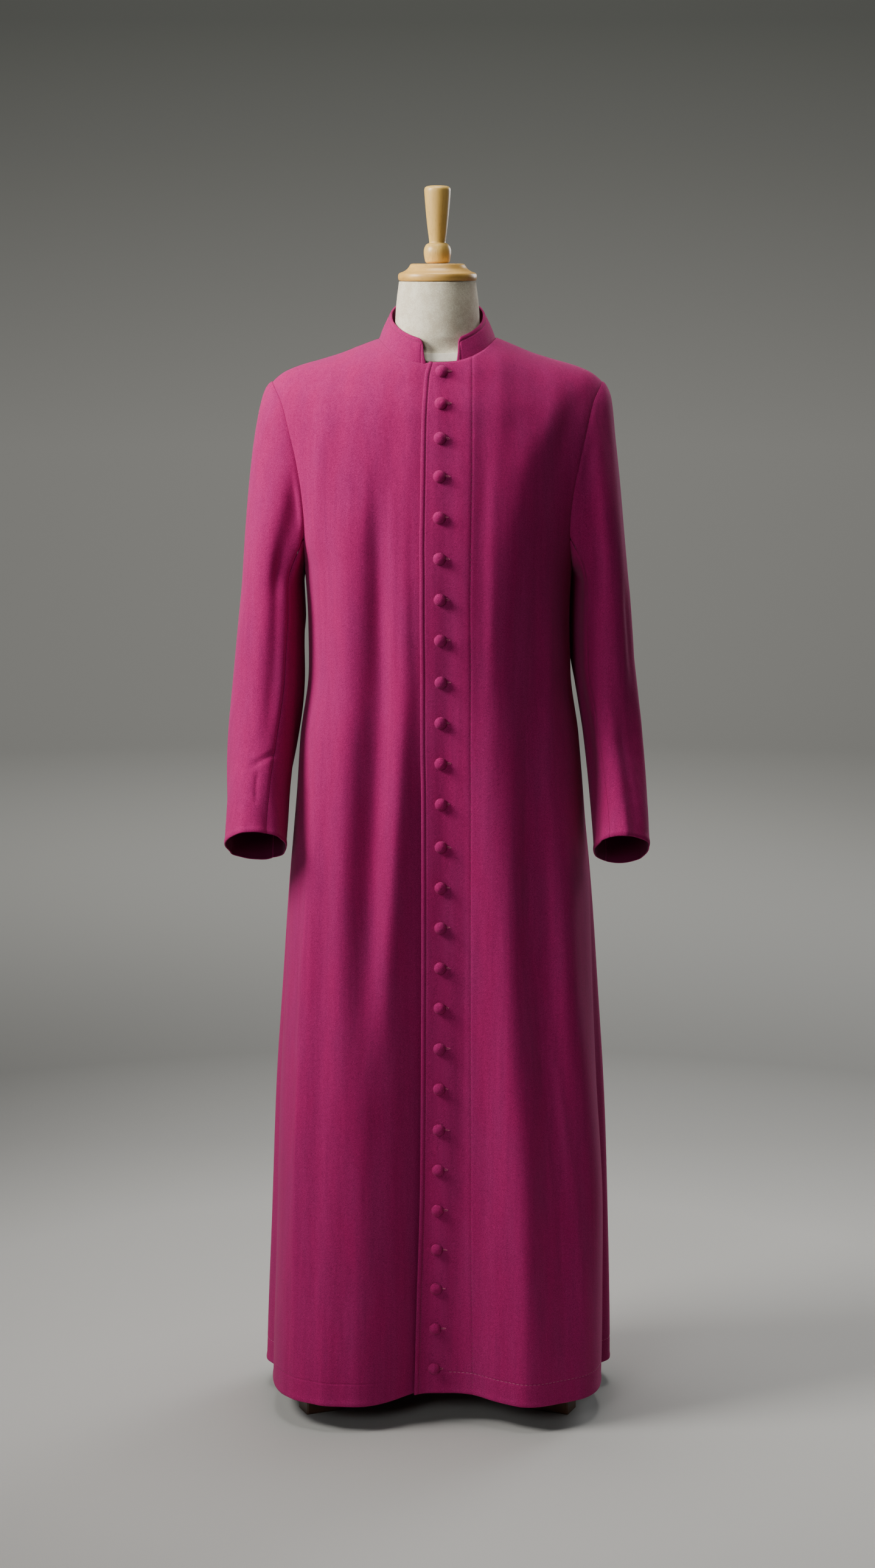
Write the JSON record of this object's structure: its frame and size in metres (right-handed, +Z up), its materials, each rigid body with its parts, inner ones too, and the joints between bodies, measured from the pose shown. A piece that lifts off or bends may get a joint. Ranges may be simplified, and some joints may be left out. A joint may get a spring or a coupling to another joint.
{
  "type": "cassock on a limbless dress form with a wooden stand",
  "caption": "Ankle-length cassock in fine wool with a standing band collar, a long row of covered buttons and two-piece sleeves, hung on a limbless dress form with a turned wooden cap.",
  "frame": {"origin": "on the floor under the middle of the object's box, on the axis of the stand's pole within a few millimetres", "axes": "+Z up along the pole, the garment's front faces -Y, the wearer's left is +X"},
  "size_m": [0.5768, 0.342, 1.6896],
  "materials": {
    "wool": "fine worsted wool with a soft nap, dark rose purple, slightly heathered",
    "canvas": "cream cotton canvas stretched over the form",
    "turned_wood": "clear satin lacquer on pale turned wood",
    "stand_wood": "brown satin stain"
  },
  "bodies": {
    "root": {"front_left": "wool", "front_right": "wool", "back": "wool", "sleeve_top_left": "wool", "sleeve_top_right": "wool", "sleeve_under_left": "wool", "sleeve_under_right": "wool", "collar": "wool", "button_01": "wool", "button_02": "wool", "button_03": "wool", "button_04": "wool", "button_05": "wool", "button_06": "wool", "button_07": "wool", "button_08": "wool", "button_09": "wool", "button_10": "wool", "button_11": "wool", "button_12": "wool", "button_13": "wool", "button_14": "wool", "button_15": "wool", "button_16": "wool", "button_17": "wool", "button_18": "wool", "button_19": "wool", "button_20": "wool", "button_21": "wool", "button_22": "wool", "button_23": "wool", "button_24": "wool", "button_25": "wool", "button_26": "wool", "form_body": "canvas", "form_cap": "turned_wood", "form_finial": "turned_wood", "stand_pole": "stand_wood", "stand_hub": "stand_wood", "stand_leg_1": "stand_wood", "stand_leg_2": "stand_wood", "stand_leg_3": "stand_wood", "stand_leg_4": "stand_wood"}
  },
  "joints": []
}
